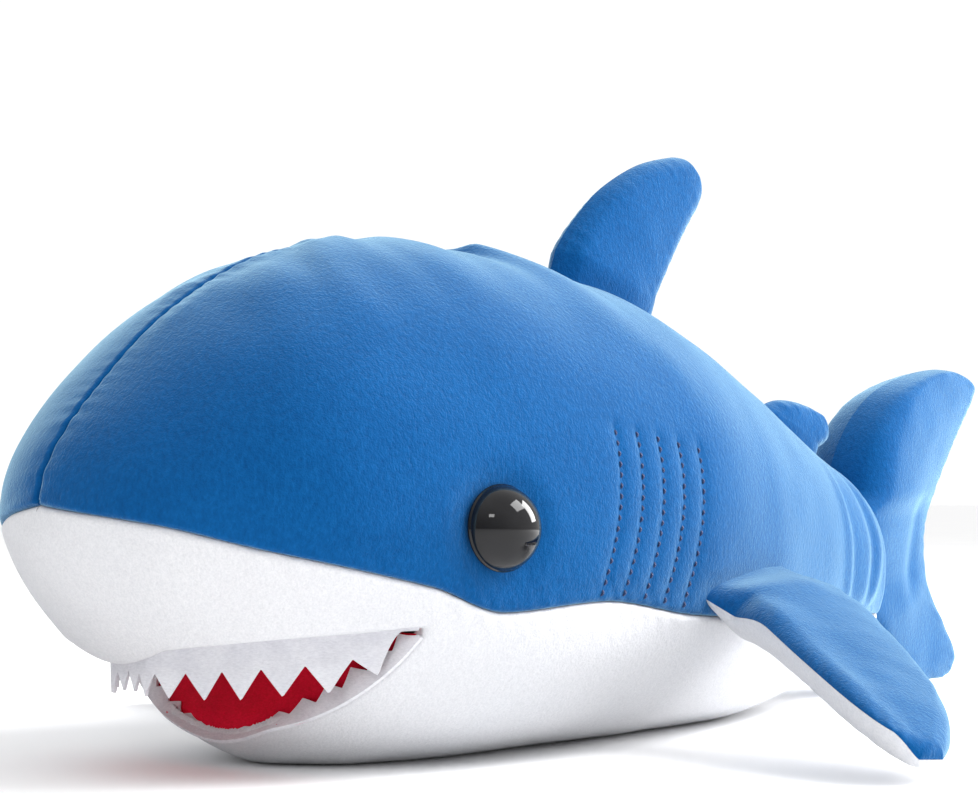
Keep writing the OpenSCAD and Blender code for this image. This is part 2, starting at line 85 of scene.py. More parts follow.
# ---- sizes the CAD part shares, in millimetres ----
BELLY_SAG = 3
ROUND_ABOVE = 2
ROUND_JAW = 1.75
ROUND_BELLY = 2.4
KEEL_END = 0.16
KEEL_FADE = 0.17
UPPER_LIP_FRONT = 34
LOWER_LIP_FRONT = 78
MOUTH_BACK = 100
CORNER_Z = 0.264 * BODY_HEIGHT
PALATE_ARCH = 10
GILL_ROWS = 5
GILL_Y = 175
GILL_PITCH = 12.4
PECTORAL_DROOP = math.radians(24)
PECTORAL_FILL = 10
PECTORAL_LIFT = 6
DORSAL_FILL = 10
SECOND_FILL = 6
TAIL_FILL = 26
FABRIC = 2

# ---- sewing sizes ----
SEAM_ROLL = 2.6
LIP_ROLL = 3.2
TUCK = 1.7
TEETH_EACH_SIDE = 8
FELT = 1.3


def unit(v):
    return v / np.maximum(np.linalg.norm(v, axis=-1, keepdims=True), 1e-12)


def mix(a, b, t):
    return a + (b - a) * t


def ease(x, start, end):
    """0 before start, 1 after end, and a smooth rise between them."""
    t = np.clip((x - start) / (end - start), 0, 1)
    return t * t * (3 - 2 * t)


def spread(count, crowd=0.8):
    """Shares from 0 to 1, closer together near both ends."""
    t = np.linspace(0, 1, count)
    return mix(t, 0.5 - 0.5 * np.cos(math.pi * t), crowd)


# ---- soft irregularity ----
LATTICE = np.random.default_rng(7).uniform(-1, 1, (24, 24, 24))


def cloud(p, size):
    """Smooth noise from -1 to 1 at points p, with lumps of that size."""
    q = np.asarray(p) / size + 100
    cell = np.floor(q).astype(int)
    f = q - cell
    f = f * f * (3 - 2 * f)
    total = np.zeros(q.shape[:-1])
    for corner in itertools.product((0, 1), repeat=3):
        weight = np.ones(q.shape[:-1])
        for axis, step in enumerate(corner):
            weight = weight * (f[..., axis] if step else 1 - f[..., axis])
        i = (cell + corner) % 24
        total += weight * LATTICE[i[..., 0], i[..., 1], i[..., 2]]
    return total


def ripple(x, pitch, seed=0.0):
    """An uneven wave of about that pitch, from -1 to 1."""
    phase = 2 * math.pi * x / pitch + 1.7 * np.sin(x / pitch * 0.9 + seed) + seed
    return np.sin(phase) * (0.75 + 0.25 * np.sin(x / pitch * 1.7 + 2 * seed))


# ---- body outline: (share of the body length, share of the height or of the half width) ----
TOP = [(0, .485), (.011, .57), (.048, .68), (.124, .84), (.225, .96), (.328, 1),
       (.437, 1), (.568, .955), (.718, .83), (.852, .69), (1, .55)]
MIDDLE = [(0, .485), (.131, .46), (.262, .44), (.437, .43), (.655, .42), (.873, .38), (1, .335)]
BOTTOM = [(0, .485), (.026, .337), (.083, .196), (.164, .075), (.218, .015), (.262, 0),
          (.72, 0), (.873, .05), (1, .13)]
WIDTH = [(0, 0), (.0175, .317), (.0655, .615), (.153, .856), (.262, .952), (.393, 1),
         (.524, .99), (.655, .865), (.764, .70), (.873, .53), (1, .34)]
SIDE_SEAM = [(0, .48), (.031, .447), (.083, .407), (.218, .335), (.288, .287), (.39, .30),
             (.52, .262), (.76, .235), (1, .21)]


def curve(points):
    """A smooth curve through the points, read by the root of the share of length."""
    x = np.sqrt([p[0] for p in points])
    y = np.array([p[1] for p in points], float)
    slope = np.diff(y) / np.diff(x)
    product = slope[:-1] * slope[1:]
    total = slope[:-1] + slope[1:]
    inner = np.where(product > 0, 2 * product / np.where(product > 0, total, 1), 0)
    tangent = np.concatenate([slope[:1], inner, slope[-1:]])

    def read(s):
        i = np.clip(np.searchsorted(x, s, side="right") - 1, 0, len(x) - 2)
        h = x[i + 1] - x[i]
        t = (s - x[i]) / h
        a, b, m, n = y[i], y[i + 1], tangent[i] * h, tangent[i + 1] * h
        return a + t * m + t * t * (3 * (b - a) - 2 * m - n) + t**3 * (2 * (a - b) + m + n)

    return read


top_share, middle_share, bottom_share = curve(TOP), curve(MIDDLE), curve(BOTTOM)
width_share, seam_share = curve(WIDTH), curve(SIDE_SEAM)


def top_z(s):
    return BODY_HEIGHT * top_share(s)


def middle_z(s):
    return BODY_HEIGHT * middle_share(s)


def bottom_z(s):
    return BODY_HEIGHT * bottom_share(s) - BELLY_SAG


def half_width(s):
    return BODY_HALF_WIDTH * width_share(s)


def seam_z(s):
    return BODY_HEIGHT * seam_share(s)


def s_of(y):
    return np.sqrt(np.maximum(y, 0) / BODY_LENGTH)


# The body closes round the tail root over the last stretch, where s goes past 1.
CAP = 0.02
CAP_DEPTH = 8
CAP_CLOSE = 0.40


def round_below(s):
    """The lower half of the section is keeled under the snout and full under the belly."""
    return mix(ROUND_JAW, ROUND_BELLY, ease(s**2, KEEL_END, KEEL_END + KEEL_FADE))


def skin(s, a):
    """The body surface. s is the root of the share of length, a the angle from the back seam."""
    s, a = np.broadcast_arrays(np.asarray(s, float), np.asarray(a, float))
    on_body = np.minimum(s, 1)
    c, n = np.cos(a), np.sin(a)
    above = c >= 0
    power = 2 / np.where(above, ROUND_ABOVE, round_below(on_body))
    middle = middle_z(on_body)
    reach = np.where(above, top_z(on_body), bottom_z(on_body)) - middle
    turn = np.clip((s - 1) / CAP, 0, 1) * math.pi / 2
    shrink = 1 - CAP_CLOSE * (1 - np.cos(turn))
    x = half_width(on_body) * np.sign(n) * np.abs(n) ** power
    y = BODY_LENGTH * on_body**2 + CAP_DEPTH * np.sin(turn)
    z = middle + reach * np.abs(c) ** power * shrink
    return np.stack([x * shrink, y, np.maximum(z, 0)], -1)


def skin_normal(s, a):
    ds, da = 0.003, 0.015
    across = skin(s, a + da) - skin(s, a - da)
    along = skin(s + ds, a) - skin(s - ds, a)
    return unit(np.cross(across, along))


def angle_at(s, z):
    """The angle, on the lower half of the section, at which the skin is at height z."""
    middle = middle_z(s)
    k = np.clip((middle - z) / (middle - bottom_z(s)), 0, 1)
    return math.pi - np.arccos(k ** (round_below(s) / 2))


def seam_angle(s):
    s = np.minimum(s, 1)
    return angle_at(s, seam_z(s))


# ---- mouth ----
def upper_lip_z(y):
    share = np.clip((y - UPPER_LIP_FRONT) / (MOUTH_BACK - UPPER_LIP_FRONT), 0, 1)
    return CORNER_Z - 0.048 * BODY_HEIGHT * (1 - np.sqrt(share))


def lower_lip_z(y):
    share = np.clip((y - LOWER_LIP_FRONT) / (MOUTH_BACK - LOWER_LIP_FRONT), 0, 1)
    return CORNER_Z - 1.5 - 0.178 * BODY_HEIGHT * (1 - share**1.6)


UPPER_START = UPPER_LIP_FRONT + 1
LOWER_START = LOWER_LIP_FRONT + 1


def upper_lip_angle(s):
    y = BODY_LENGTH * s**2
    return np.where(y < UPPER_START, math.pi, angle_at(s, upper_lip_z(y)))


def lower_lip_angle(s):
    return angle_at(s, lower_lip_z(BODY_LENGTH * s**2))


def lip_path(lip_z, start, follow=False, step=0.5):
    """A lip's line from corner to corner; its front runs straight across or follows the skin."""
    y = mix(start, MOUTH_BACK, np.linspace(0, 1, 300) ** 1.5)
    s = s_of(y)
    left = skin(s, angle_at(s, lip_z(y)))
    front = np.linspace(-1, 1, 60)[1:-1]
    if follow:
        first = angle_at(s[0], left[0][2])
        across = skin(s[0], math.pi - (math.pi - first) * np.abs(front))
        across[:, 0] *= np.sign(front)
    else:
        across = np.tile(left[0], (len(front), 1))
        across[:, 0] *= front
    points = np.concatenate([left[::-1] * [-1, 1, 1], across, left])
    along = np.concatenate([[0], np.cumsum(np.linalg.norm(np.diff(points, axis=0), axis=1))])
    even = np.arange(0, along[-1], step)
    path = np.stack([np.interp(even, along, points[:, i]) for i in range(3)], -1)
    reach = 14
    window = np.hanning(2 * reach + 1)
    padded = np.concatenate([np.repeat(path[:1], reach, 0), path, np.repeat(path[-1:], reach, 0)])
    soft = [np.convolve(padded[:, i], window / window.sum(), "valid") for i in range(3)]
    return np.stack(soft, -1)


FRONT_SHARE = 0.4
STRIP_SETBACK = 4


def strip_share(y):
    """The upper strip stands in from the lip at the front and meets it at the corners."""
    return mix(FRONT_SHARE, 1, np.clip((y - UPPER_START) / (MOUTH_BACK - UPPER_START), 0, 1))


def set_in(path):
    """The upper lip's line drawn in to where the felt strip is sewn."""
    share = strip_share(path[..., 1])
    back = STRIP_SETBACK * (1 - share) / (1 - FRONT_SHARE)
    return np.stack([path[..., 0] * share, path[..., 1] + back, path[..., 2]], -1)


# ---- seams, and how the plush rolls into them ----
def both(points):
    return np.concatenate([points, points * [-1, 1, 1]])


def seam_lines():
    s = np.linspace(0.001, 1 + CAP, 1400)
    sewn = both(np.concatenate([skin(s, 0 * s), skin(s, seam_angle(s))]))
    y = mix(UPPER_START, MOUTH_BACK, np.linspace(0, 1, 500) ** 2)
    upper = skin(s_of(y), angle_at(s_of(y), upper_lip_z(y)))
    y = mix(LOWER_START, MOUTH_BACK, np.linspace(0, 1, 500) ** 1.5)
    lower = skin(s_of(y), angle_at(s_of(y), lower_lip_z(y)))
    lips = [upper, lower]
    for start, lip in ((UPPER_START, upper), (LOWER_START, lower)):
        first = angle_at(s_of(start), lip[0][2])
        lips.append(skin(s_of(start), np.linspace(first, math.pi, 120)))
    return sewn, both(np.concatenate(lips))


def tree(points):
    found = kdtree.KDTree(len(points))
    for i, p in enumerate(points):
        found.insert(p, i)
    found.balance()
    return found


sewn_points, lip_points = seam_lines()
SEWN, LIPS = tree(sewn_points), tree(lip_points)


def distance(lines, points):
    flat = points.reshape(-1, 3)
    return np.array([lines.find(p)[2] for p in flat]).reshape(points.shape[:-1])


def rolled(d, radius):
    """How far fabric has turned in at distance d from its seam."""
    near = np.clip(radius - d, 0, radius)
    return radius - np.sqrt(radius**2 - near**2)


# ---- the eyes, measured from the frame ----
def node_points(name):
    return np.array([v.co for v in frame["nodes"][name].data.vertices]) / MM


def eye_frame(side):
    """(the dome's apex, the outward axis, the dome's radius) in the frame, in millimetres."""
    washer = node_points(f"eye_washer_{side}").mean(0)
    points = node_points(f"eye_{side}")
    apex = points[np.argmax(np.linalg.norm(points - washer, axis=1))]
    axis = unit(apex - washer)
    off_axis = points - washer
    radius = np.linalg.norm(off_axis - np.outer(off_axis @ axis, axis), axis=1).max()
    return apex, axis, radius


EYES = {side: eye_frame(side) for side in ("left", "right")}
EYE_DOME = 12


def to_frame(points):
    """From millimetres with the nose at y = 0 to metres in the frame."""
    return np.asarray(points) * MM + [0, NOSE_Y, 0]


def eye_seat(side):
    apex, axis, radius = EYES[side]
    return apex - EYE_DOME * axis - [0, NOSE_Y / MM, 0]


EYE_SEATS = [eye_seat(side) for side in EYES]


# ---- relief of the stuffed skin ----
def gill_line(row, t):
    """A point of a gill row in (y, z), from its foot at t = 0 to its top at t = 1."""
    y = GILL_Y + row * GILL_PITCH + 14 * np.sin(t * math.pi / 2)
    z = mix(seam_z(s_of(y)) + 2, 0.632 * BODY_HEIGHT - 1.6 * row, t)
    return y, z


def crown_puckers(p):
    """Folds that fan out from the back seam over the head."""
    s = s_of(p[..., 1])
    away = np.hypot(p[..., 0], top_z(s) - p[..., 2])
    where = ease(p[..., 1], 25, 110) * (1 - ease(p[..., 1], 235, 275))
    slant = p[..., 1] + 0.004 * away * (150 - p[..., 1])
    fold = np.stack([slant, 0.28 * away, np.where(p[..., 0] < 0, 300.0, 0.0)], -1)
    near = cloud(fold, 10) * np.exp(-away / 24)
    far = cloud(fold + [0, 0, 900], 17) * np.exp(-away / 48)
    return where * (3.1 * near + 3.6 * far)


def flank_folds(p):
    """Soft upright folds where the body narrows towards the tail."""
    y, z = p[..., 1], p[..., 2]
    shown = ease(z, 34, 60) * (1 - ease(z, 98, 122))
    total = np.zeros(y.shape)
    for foot, bend, width, height in ((401, 0.0006, 5.5, 1.5), (414, 0.003, 6, -1.3),
                                      (431, 0.005, 5, 0.8), (450, 0.011, 6, 1.4),
                                      (441, 0.008, 4.5, -1.0)):
        line = foot - bend * (z - 82) ** 2
        total += height * np.exp(-(((y - line) / width) ** 2))
    return shown * total


def gill_grooves(p):
    total = np.zeros(p.shape[:-1])
    for row in range(GILL_ROWS):
        _, foot = gill_line(row, 0.0)
        _, head = gill_line(row, 1.0)
        t = (p[..., 2] - foot) / (head - foot)
        y, _ = gill_line(row, np.clip(t, 0, 1))
        shown = ease(t, -0.03, 0.03) * (1 - ease(t, 0.98, 1.04))
        away = np.abs(p[..., 1] - y)
        total -= shown * (0.75 * np.exp(-((away / 1.3) ** 2)) + 0.5 * np.exp(-((away / 5) ** 2)))
    return total


def eye_dents(p):
    total = np.zeros(p.shape[:-1])
    for seat in EYE_SEATS:
        away = np.linalg.norm(p - seat, axis=-1)
        total -= 2.0 * (1 - ease(away, 13, 27))
    return total


def root_dents(p):
    """The skin is drawn in where the pectoral fins are sewn to it."""
    beside = np.abs(p[..., 0]) > 0.5 * BODY_HALF_WIDTH
    along = p[..., 1] - np.clip(p[..., 1], 244, 312)
    away = np.hypot(along, p[..., 2] - 58)
    return -1.6 * beside * np.exp(-((away / 9) ** 2))


def blue_relief(p):
    lumps = 1.1 * cloud(p, 62) + 0.45 * cloud(p, 24)
    return lumps + crown_puckers(p) + flank_folds(p) + gill_grooves(p) + eye_dents(p) + root_dents(p)


def white_relief(p):
    lumps = 0.8 * cloud(p, 55) + 0.3 * cloud(p, 20)
    return lumps + root_dents(p) + 0.6 * flank_folds(p)


def seam_pucker(p, away):
    """Small gathers along every sewn seam."""
    along = p[..., 1] + 0.6 * p[..., 2]
    return 0.42 * np.exp(-away / 7) * ripple(along, 8.5, 1.1) * (0.6 + 0.4 * cloud(p, 40))


# ---- meshes ----
SHARP = math.radians(58)


def make_mesh(name, points, faces):
    """One piece in the frame from millimetre points, with doubled points merged."""
    data = bpy.data.meshes.new(name)
    data.from_pydata(to_frame(points).tolist(), [], faces)
    bm = bmesh.new()
    bm.from_mesh(data)
    bmesh.ops.remove_doubles(bm, verts=bm.verts, dist=0.00001)
    bmesh.ops.dissolve_degenerate(bm, edges=bm.edges, dist=0.000002)
    bmesh.ops.recalc_face_normals(bm, faces=bm.faces)
    bm.to_mesh(data)
    bm.free()
    data.polygons.foreach_set("use_smooth", [True] * len(data.polygons))
    data.set_sharp_from_angle(angle=SHARP)
    obj = bpy.data.objects.new(name, data)
    bpy.context.scene.collection.objects.link(obj)
    return obj


def grid_faces(rows, cols, base=0, wrap=False):
    faces = []
    for i in range(rows - 1):
        for j in range(cols if wrap else cols - 1):
            a = base + i * cols + j
            b = base + i * cols + (j + 1) % cols
            faces.append((a, b, b + cols, a + cols))
    return faces


def shell_faces(rows, cols):
    """Faces of a closed solid between two grids of points, the outer one first."""
    n = rows * cols
    faces = grid_faces(rows, cols) + [f[::-1] for f in grid_faces(rows, cols, n)]
    rim = list(range(cols))
    rim += [i * cols + cols - 1 for i in range(1, rows)]
    rim += [(rows - 1) * cols + j for j in range(cols - 2, -1, -1)]
    rim += [i * cols for i in range(rows - 2, 0, -1)]
    for a, b in zip(rim, rim[1:] + rim[:1]):
        faces.append((b, a, a + n, b + n))
    return faces


def shell(name, outer, inner):
    rows, cols = outer.shape[:2]
    points = np.concatenate([outer.reshape(-1, 3), inner.reshape(-1, 3)])
    return make_mesh(name, points, shell_faces(rows, cols))


def tube(points, radii, sides=6):
    """(points, faces) of a closed round tube along a line, with its ends drawn in by the radii."""
    ahead = unit(np.gradient(points, axis=0))
    side = unit(np.cross(ahead, [0.0, 1.0, 0.13]))
    over = np.cross(ahead, side)
    turn = np.linspace(0, 2 * math.pi, sides, endpoint=False)[None, :, None]
    spoke = side[:, None] * np.cos(turn) + over[:, None] * np.sin(turn)
    ring = points[:, None] + radii[:, None, None] * spoke
    faces = grid_faces(len(points), sides, wrap=True)
    faces.append(tuple(range(sides))[::-1])
    faces.append(tuple((len(points) - 1) * sides + k for k in range(sides)))
    return ring.reshape(-1, 3), faces


def gathered(parts):
    """Several (points, faces) as one."""
    points, faces, base = [], [], 0
    for p, f in parts:
        points.append(p)
        faces += [tuple(i + base for i in face) for face in f]
        base += len(p)
    return np.concatenate(points), faces


# ---- materials ----
def material(name):
    made = bpy.data.materials.new(name)
    made.use_nodes = True
    nodes = made.node_tree.nodes
    return made, nodes, made.node_tree.links, nodes["Principled BSDF"]


def noise(nodes, links, source, scale, detail=3.0, roughness=0.55):
    node = nodes.new("ShaderNodeTexNoise")
    node.inputs["Scale"].default_value = scale
    node.inputs["Detail"].default_value = detail
    node.inputs["Roughness"].default_value = roughness
    links.new(source, node.inputs["Vector"])
    return node.outputs["Fac"]


def stretched(nodes, links, source, scale):
    node = nodes.new("ShaderNodeMapping")
    node.inputs["Scale"].default_value = scale
    links.new(source, node.inputs["Vector"])
    return node.outputs["Vector"]


def ramp(nodes, links, factor, stops):
    node = nodes.new("ShaderNodeValToRGB")
    points = node.color_ramp.elements
    while len(points) < len(stops):
        points.new(0.5)
    for point, (place, colour) in zip(points, stops):
        point.position = place
        point.color = (*colour, 1)
    links.new(factor, node.inputs["Fac"])
    return node.outputs["Color"]


def mixed(nodes, links, factor, a, b, blend="MIX"):
    node = nodes.new("ShaderNodeMix")
    node.data_type = "RGBA"
    node.blend_type = blend
    for socket, value in ((node.inputs["Factor"], factor), (node.inputs["A"], a), (node.inputs["B"], b)):
        if isinstance(value, bpy.types.NodeSocket):
            links.new(value, socket)
        else:
            socket.default_value = value if isinstance(value, float) else (*value, 1)
    return node.outputs["Result"]


def bumps(nodes, links, shader, layers):
    """Stacked bump from (height, strength, depth in metres) layers."""
    normal = None
    for height, strength, depth in layers:
        node = nodes.new("ShaderNodeBump")
        node.inputs["Strength"].default_value = strength
        node.inputs["Distance"].default_value = depth
        links.new(height, node.inputs["Height"])
        if normal:
            links.new(normal, node.inputs["Normal"])
        normal = node.outputs["Normal"]
    links.new(normal, shader.inputs["Normal"])


def plush(name, deep, main, brushed, sheen, tint):
    """Short velvety pile: fine speckle from the fibre tips, brushed patches, and a soft sheen."""
    made, nodes, links, shader = material(name)
    place = nodes.new("ShaderNodeTexCoord").outputs["Object"]
    tips = noise(nodes, links, place, 1300, 2.0, 0.6)
    tufts = noise(nodes, links, stretched(nodes, links, place, (1, 1, 0.6)), 620, 3.0, 0.6)
    nap = noise(nodes, links, stretched(nodes, links, place, (1, 0.6, 1)), 34, 3.0, 0.5)
    patches = noise(nodes, links, place, 11, 2.0, 0.5)
    speckle = ramp(nodes, links, tufts, [(0.25, deep), (0.5, main), (0.8, brushed)])
    brushing = ramp(nodes, links, nap, [(0.3, main), (0.8, brushed)])
    colour = mixed(nodes, links, 0.3, speckle, brushing)
    shade = ramp(nodes, links, patches, [(0.3, (0.93, 0.94, 0.95)), (0.7, (1, 1, 1))])
    colour = mixed(nodes, links, 1.0, colour, shade, "MULTIPLY")
    grain = ramp(nodes, links, tips, [(0.35, (0.88, 0.89, 0.9)), (0.65, (1, 1, 1))])
    colour = mixed(nodes, links, 0.8, colour, grain, "MULTIPLY")
    links.new(colour, shader.inputs["Base Color"])
    shader.inputs["Roughness"].default_value = 0.9
    shader.inputs["Specular IOR Level"].default_value = 0.05
    shader.inputs["Sheen Weight"].default_value = sheen
    shader.inputs["Sheen Roughness"].default_value = 0.36
    shader.inputs["Sheen Tint"].default_value = (*tint, 1)
    bumps(nodes, links, shader, [(tips, 0.5, 0.0004), (tufts, 0.45, 0.0006), (nap, 0.25, 0.0012)])
    return made


def felt(name, dark, light, sheen=0.15):
    """Pressed felt: matted fibres with a cloudy tone and a fuzzy edge."""
    made, nodes, links, shader = material(name)
    place = nodes.new("ShaderNodeTexCoord").outputs["Object"]
    fibres = noise(nodes, links, stretched(nodes, links, place, (1, 1, 2.6)), 620, 5.0, 0.7)
    crossed = noise(nodes, links, stretched(nodes, links, place, (2.4, 2.4, 1)), 540, 4.0, 0.7)
    mats = noise(nodes, links, place, 90, 3.0, 0.6)
    colour = ramp(nodes, links, fibres, [(0.3, dark), (0.62, light)])
    tone = ramp(nodes, links, mats, [(0.3, (0.88, 0.88, 0.9)), (0.7, (1, 1, 1))])
    colour = mixed(nodes, links, 1.0, colour, tone, "MULTIPLY")
    links.new(colour, shader.inputs["Base Color"])
    shader.inputs["Roughness"].default_value = 0.95
    shader.inputs["Specular IOR Level"].default_value = 0.1
    shader.inputs["Sheen Weight"].default_value = sheen
    shader.inputs["Sheen Roughness"].default_value = 0.5
    bumps(nodes, links, shader, [(fibres, 0.45, 0.0003), (crossed, 0.4, 0.0003), (mats, 0.2, 0.0008)])
    return made


def glossy(name, colour, rough):
    """Polished moulded plastic with faint handling haze."""
    made, nodes, links, shader = material(name)
    place = nodes.new("ShaderNodeTexCoord").outputs["Object"]
    haze = noise(nodes, links, place, 160, 4.0, 0.6)
    tone = ramp(nodes, links, haze, [(0.3, colour), (0.8, tuple(c * 1.6 + 0.001 for c in colour))])
    links.new(tone, shader.inputs["Base Color"])
    sheen = nodes.new("ShaderNodeMapRange")
    sheen.inputs["To Min"].default_value = rough
    sheen.inputs["To Max"].default_value = rough * 2.2
    links.new(haze, sheen.inputs["Value"])
    links.new(sheen.outputs["Result"], shader.inputs["Roughness"])
    shader.inputs["IOR"].default_value = 1.37
    shader.inputs["Coat Weight"].default_value = 0.06
    shader.inputs["Coat Roughness"].default_value = 0.02
    return made


def thread(name, dark, light):
    """Twisted sewing thread: slanting strands along its length."""
    made, nodes, links, shader = material(name)
    place = nodes.new("ShaderNodeTexCoord").outputs["Object"]
    twist = nodes.new("ShaderNodeTexWave")
    twist.bands_direction = "DIAGONAL"
    twist.inputs["Scale"].default_value = 700
    twist.inputs["Distortion"].default_value = 1.5
    links.new(place, twist.inputs["Vector"])
    fuzz = noise(nodes, links, place, 2200, 2.0)
    colour = ramp(nodes, links, twist.outputs["Fac"], [(0.2, dark), (0.8, light)])
    links.new(colour, shader.inputs["Base Color"])
    shader.inputs["Roughness"].default_value = 0.7
    shader.inputs["Sheen Weight"].default_value = 0.2
    bumps(nodes, links, shader, [(twist.outputs["Fac"], 0.6, 0.0002), (fuzz, 0.3, 0.0001)])
    return made


def moulded(name, dark, light):
    """Plain moulded plastic with a fine spark-eroded grain."""
    made, nodes, links, shader = material(name)
    place = nodes.new("ShaderNodeTexCoord").outputs["Object"]
    grain = noise(nodes, links, place, 1500, 2.0)
    flow = noise(nodes, links, place, 70, 3.0)
    colour = ramp(nodes, links, flow, [(0.3, dark), (0.7, light)])
    links.new(colour, shader.inputs["Base Color"])
    shader.inputs["Roughness"].default_value = 0.5
    bumps(nodes, links, shader, [(grain, 0.2, 0.0001)])
    return made


BLUE = plush("blue_plush", (0.0005, 0.05, 0.18), (0.001, 0.07, 0.235), (0.004, 0.10, 0.31), 0.9,
             (0.55, 0.86, 1.0))
WHITE = plush("white_plush", (0.62, 0.62, 0.64), (0.66, 0.66, 0.68), (0.70, 0.70, 0.715), 0.08,
              (0.95, 0.96, 1.0))
RED = felt("red_lining", (0.58, 0.001, 0.018), (0.76, 0.003, 0.035), 0.05)
FELT_WHITE = felt("white_felt", (0.60, 0.60, 0.635), (0.72, 0.72, 0.75), 0.08)
EYE = glossy("black_eye", (0.004, 0.004, 0.005), 0.03)
NAVY = thread("navy_thread", (0.001, 0.008, 0.05), (0.004, 0.03, 0.14))
WASHER = moulded("washer_plastic", (0.2, 0.2, 0.21), (0.3, 0.3, 0.31))


def dress(obj, look, slot_name, *replaced):
    """Gives a piece its material and hides the CAD nodes it stands for; slot_name is not used."""
    obj.data.materials.append(look)
    if replaced:
        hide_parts(*replaced)
    return obj


# ---- body skins: s where the lips start and where the mouth ends, and the nose's first row ----
NOSE_S = 0.002
UPPER_S = s_of(UPPER_START)
LOWER_S = s_of(LOWER_START)
BACK = s_of(MOUTH_BACK)
SEAM_EDGE = 0.0015
PAST_START = 1e-6
FLANGE_SAG = 1.1
FLANGE_THICKNESS = 1.4


def lip_flange(side):
    """The turned-in edge of the upper lip, from the skin to the felt strip."""
    front = np.linspace(math.pi, upper_lip_angle(UPPER_S + PAST_START), 39, endpoint=False)
    s_side = np.linspace(UPPER_S, BACK, 110)
    s = np.concatenate([np.full(len(front), UPPER_S), s_side])
    a = np.concatenate([front, upper_lip_angle(s_side + PAST_START)])
    edge = skin(s, a) - (LIP_ROLL - 0.4) * skin_normal(s, a)
    line = np.stack([skin(s, a)[:, 0], edge[:, 1], upper_lip_z(edge[:, 1]) + 0.6], -1)
    share = np.linspace(0, 1, 12)[None, :, None]
    grid = mix(edge[:, None], set_in(line)[:, None], share)
    fade = 1 - ease(edge[:, 1], 80, 100)
    grid[..., 2] -= FLANGE_SAG * np.sin(math.pi * share[..., 0]) * fade[:, None]
    grid = grid * [side, 1, 1]
    return grid, grid + [0, 0, FLANGE_THICKNESS]


def sewn_skin(s, a, side, relief):
    """(outer, inner) grids of a skin: stuffed relief, puckers, and edges rolled into the seams."""
    base = skin(s, a)
    normal = skin_normal(s, a)
    if side < 0:
        base = base * [-1, 1, 1]
        normal = normal * [-1, 1, 1]
    sewn = distance(SEWN, base)
    lip = distance(LIPS, base)
    move = relief(base) * ease(np.minimum(sewn, lip), 0, 12)
    move = move + seam_pucker(base, sewn) * ease(sewn, 0, 1.5)
    move = move - np.maximum(rolled(sewn, SEAM_ROLL), rolled(lip, LIP_ROLL))
    outer = base + normal * move[..., None]
    inner = outer - normal * FABRIC
    for grid in (outer, inner):
        grid[..., 2] = np.maximum(grid[..., 2], 0.2)
    return outer, inner


def back_plush(side):
    s = NOSE_S + (1 + CAP - NOSE_S) * np.linspace(0, 1, 330) ** 0.85
    a = mix(SEAM_EDGE, (seam_angle(s) - SEAM_EDGE)[:, None], spread(120)[None])
    return sewn_skin(s[:, None], a, side, blue_relief)


def snout_plush(side):
    """Patches of one half of the snout: its side, its chin, and the turned-in lip."""
    s_chin = np.linspace(NOSE_S, UPPER_S, 60)
    s = np.concatenate([s_chin, np.linspace(UPPER_S, BACK, 110)[1:]])
    lip = upper_lip_angle(np.maximum(s, UPPER_S + PAST_START))
    flank = mix((seam_angle(s) + SEAM_EDGE)[:, None], lip[:, None], spread(48)[None])
    chin = mix(lip[: len(s_chin), None], math.pi, spread(28)[None])
    return [sewn_skin(s[:, None], flank, side, white_relief),
            sewn_skin(s_chin[:, None], chin, side, white_relief), lip_flange(side)]


def belly_plush(side):
    """Patches of one half of the belly: the jaw in front of the mouth corners, and the rest."""
    s = LOWER_S + (BACK - LOWER_S) * np.linspace(0, 1, 60) ** 1.3
    jaw = mix(lower_lip_angle(s)[:, None], math.pi, spread(60)[None])
    s_rear = BACK + (1 + CAP - BACK) * np.linspace(0, 1, 200)
    rear = mix((seam_angle(s_rear) + SEAM_EDGE)[:, None], math.pi, spread(84)[None])
    return [sewn_skin(s[:, None], jaw, side, white_relief),
            sewn_skin(s_rear[:, None], rear, side, white_relief)]


def half_skin(name, patches):
    """A skin of several patches, whose mirrored halves meet along the middle of the belly."""
    parts = []
    for outer, inner in patches:
        rows, cols = outer.shape[:2]
        points = np.concatenate([outer.reshape(-1, 3), inner.reshape(-1, 3)])
        n = rows * cols
        faces = grid_faces(rows, cols) + [f[::-1] for f in grid_faces(rows, cols, n)]
        edges = [(j, j + 1) for j in range(cols - 1)]
        last = (rows - 1) * cols
        edges += [(last + j + 1, last + j) for j in range(cols - 1)]
        edges += [((i + 1) * cols, i * cols) for i in range(rows - 1)]
        middle = np.abs(outer[:, -1, 0]) > 0.01
        edges += [(i * cols + cols - 1, (i + 1) * cols + cols - 1)
                  for i in range(rows - 1) if middle[i] or middle[i + 1]]
        faces += [(b, a, a + n, b + n) for a, b in edges]
        parts.append((points, faces))
    return make_mesh(name, *gathered(parts))


def body_pieces():
    for side, name in ((1, "left"), (-1, "right")):
        piece = shell(f"back_plush_{name}", *back_plush(side))
        dress(piece, BLUE, "blue_plush", f"back_panel_{name}")
        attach(piece, "body")
    snout = half_skin("snout_plush", snout_plush(1) + snout_plush(-1))
    dress(snout, WHITE, "white_plush", "snout_panel", "body_stuffing")
    belly = half_skin("belly_plush", belly_plush(1) + belly_plush(-1))
    dress(belly, WHITE, "white_plush", "belly_panel", "jaw_stuffing")
    for piece in (snout, belly):
        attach(piece, "body")


# ---- mouth lining ----
def lining_edge(s, z, depth):
    a = angle_at(s, z)
    return skin(s, a) - depth * skin_normal(s, a)


